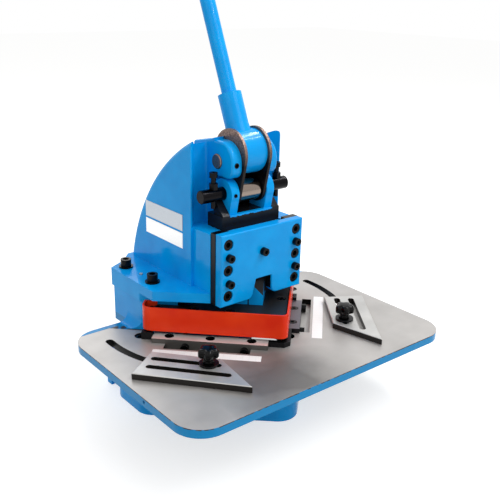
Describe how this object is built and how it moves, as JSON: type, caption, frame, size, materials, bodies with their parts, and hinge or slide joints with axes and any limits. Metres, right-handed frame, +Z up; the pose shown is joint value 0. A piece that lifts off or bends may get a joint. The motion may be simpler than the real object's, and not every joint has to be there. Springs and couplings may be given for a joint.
{
  "type": "corner notcher",
  "caption": "Hand-lever sheet-metal corner notcher: ground table with two sliding corner guides, square-corner die under a guarded punch ram, and a raised lever head.",
  "frame": {"origin": "on the bench, at the centre of the four bench bolt holes", "axes": "+Z up; the operator stands at -Y; +X is to the operator's right"},
  "size_m": [0.52, 0.4635, 0.9252],
  "materials": {
    "blue_casting": "gloss enamel",
    "table_iron": "ground top, enamelled edge",
    "blue_steel": "gloss enamel",
    "black_oxide": "black oxide",
    "tool_steel": "ground",
    "dark_steel": "blackened",
    "polished_steel": "polished",
    "raw_steel": "mill finish",
    "red_paint": "satin enamel",
    "plate_silver": "satin",
    "plate_white": "satin, white",
    "ruler_white": "satin",
    "black_plastic": "matte",
    "black_rubber": "matte"
  },
  "bodies": {
    "frame": {"base": "blue_casting", "table_casting": "table_iron", "table_screws": "black_oxide", "stop_blocks": "dark_steel", "stop_block_screws": "black_oxide", "lower_blade_left": "tool_steel", "lower_blade_right": "tool_steel", "die_block": "dark_steel", "die_corner": "dark_steel", "lower_blade_screws": "black_oxide", "blade_side_screws": "black_oxide", "ruler_left": "ruler_white", "ruler_right": "ruler_white", "guard": "red_paint", "guard_screws": "black_oxide", "upper_frame": "blue_casting", "frame_bolts": "black_oxide", "frame_washers": "black_oxide", "taper_pins": "tool_steel", "lug_set_screw": "black_oxide", "main_shaft": "raw_steel", "name_plate": "plate_silver", "data_plate": "plate_white", "front_plate": "blue_steel", "spacer_right": "dark_steel", "spacer_left": "dark_steel", "plate_screws": "black_oxide", "push_screws": "black_oxide"},
    "ram": {"ram": "blue_casting", "ear_set_screw": "black_oxide", "cross_shaft": "dark_steel", "stop_screws": "black_oxide", "stop_nuts": "black_oxide", "link_right": "raw_steel", "link_left": "raw_steel", "punch_plate": "tool_steel", "holder_screws": "black_oxide", "punch_screws": "black_oxide", "upper_blade_left": "tool_steel", "upper_blade_right": "tool_steel"},
    "roller": {"roller": "polished_steel"},
    "lever": {"lever_hub": "blue_casting", "socket_set_screw": "black_oxide", "handle_tube": "blue_steel", "handle_grip": "black_rubber"},
    "carriage_left": {"stud_left": "black_oxide", "clamp_nut_left": "black_oxide"},
    "swivel_left": {"washer_left": "dark_steel"},
    "guide_left": {"guide_left": "tool_steel"},
    "knob_left": {"knob_left": "black_plastic"},
    "carriage_right": {"stud_right": "black_oxide", "clamp_nut_right": "black_oxide"},
    "swivel_right": {"washer_right": "dark_steel"},
    "guide_right": {"guide_right": "tool_steel"},
    "knob_right": {"knob_right": "black_plastic"}
  },
  "joints": [
    {"name": "handle_pivot", "type": "hinge", "parent": "frame", "child": "lever", "pos_m": [0, -0.065, 0.405], "axis": [1, 0, 0], "range_deg": [0, 90]},
    {"name": "ram_slide", "type": "slide", "parent": "frame", "child": "ram", "axis": [0, 0, -1], "range_m": [0, 0.012]},
    {"name": "roller_spin", "type": "hinge", "parent": "ram", "child": "roller", "pos_m": [0, -0.076, 0.356], "axis": [1, 0, 0], "continuous": true},
    {"name": "arc_travel_left", "type": "hinge", "parent": "frame", "child": "carriage_left", "pos_m": [0, -0.02, 0.125], "axis": [0, 0, 1], "range_deg": [-38, 5]},
    {"name": "guide_swivel_left", "type": "hinge", "parent": "carriage_left", "child": "swivel_left", "pos_m": [-0.14347, -0.17878, 0.125], "axis": [0, 0, 1], "range_deg": [-14, 20]},
    {"name": "guide_slide_left", "type": "slide", "parent": "swivel_left", "child": "guide_left", "axis": [-0.6508, 0.7593, 0], "range_m": [-0.083, 0.014]},
    {"name": "knob_turn_left", "type": "hinge", "parent": "carriage_left", "child": "knob_left", "pos_m": [-0.14347, -0.17878, 0.125], "axis": [0, 0, 1], "continuous": true},
    {"name": "arc_travel_right", "type": "hinge", "parent": "frame", "child": "carriage_right", "pos_m": [0, -0.02, 0.125], "axis": [0, 0, 1], "range_deg": [-0.5, 40]},
    {"name": "guide_swivel_right", "type": "hinge", "parent": "carriage_right", "child": "swivel_right", "pos_m": [0.13087, -0.18932, 0.125], "axis": [0, 0, 1], "range_deg": [-20, 8]},
    {"name": "guide_slide_right", "type": "slide", "parent": "swivel_right", "child": "guide_right", "axis": [0.6018, 0.7986, 0], "range_m": [-0.083, 0.014]},
    {"name": "knob_turn_right", "type": "hinge", "parent": "carriage_right", "child": "knob_right", "pos_m": [0.13087, -0.18932, 0.125], "axis": [0, 0, 1], "continuous": true}
  ],
  "couplings": [
    {"joint": "ram_slide", "follows": "handle_pivot", "m_per_rad": 0.0076394}
  ]
}
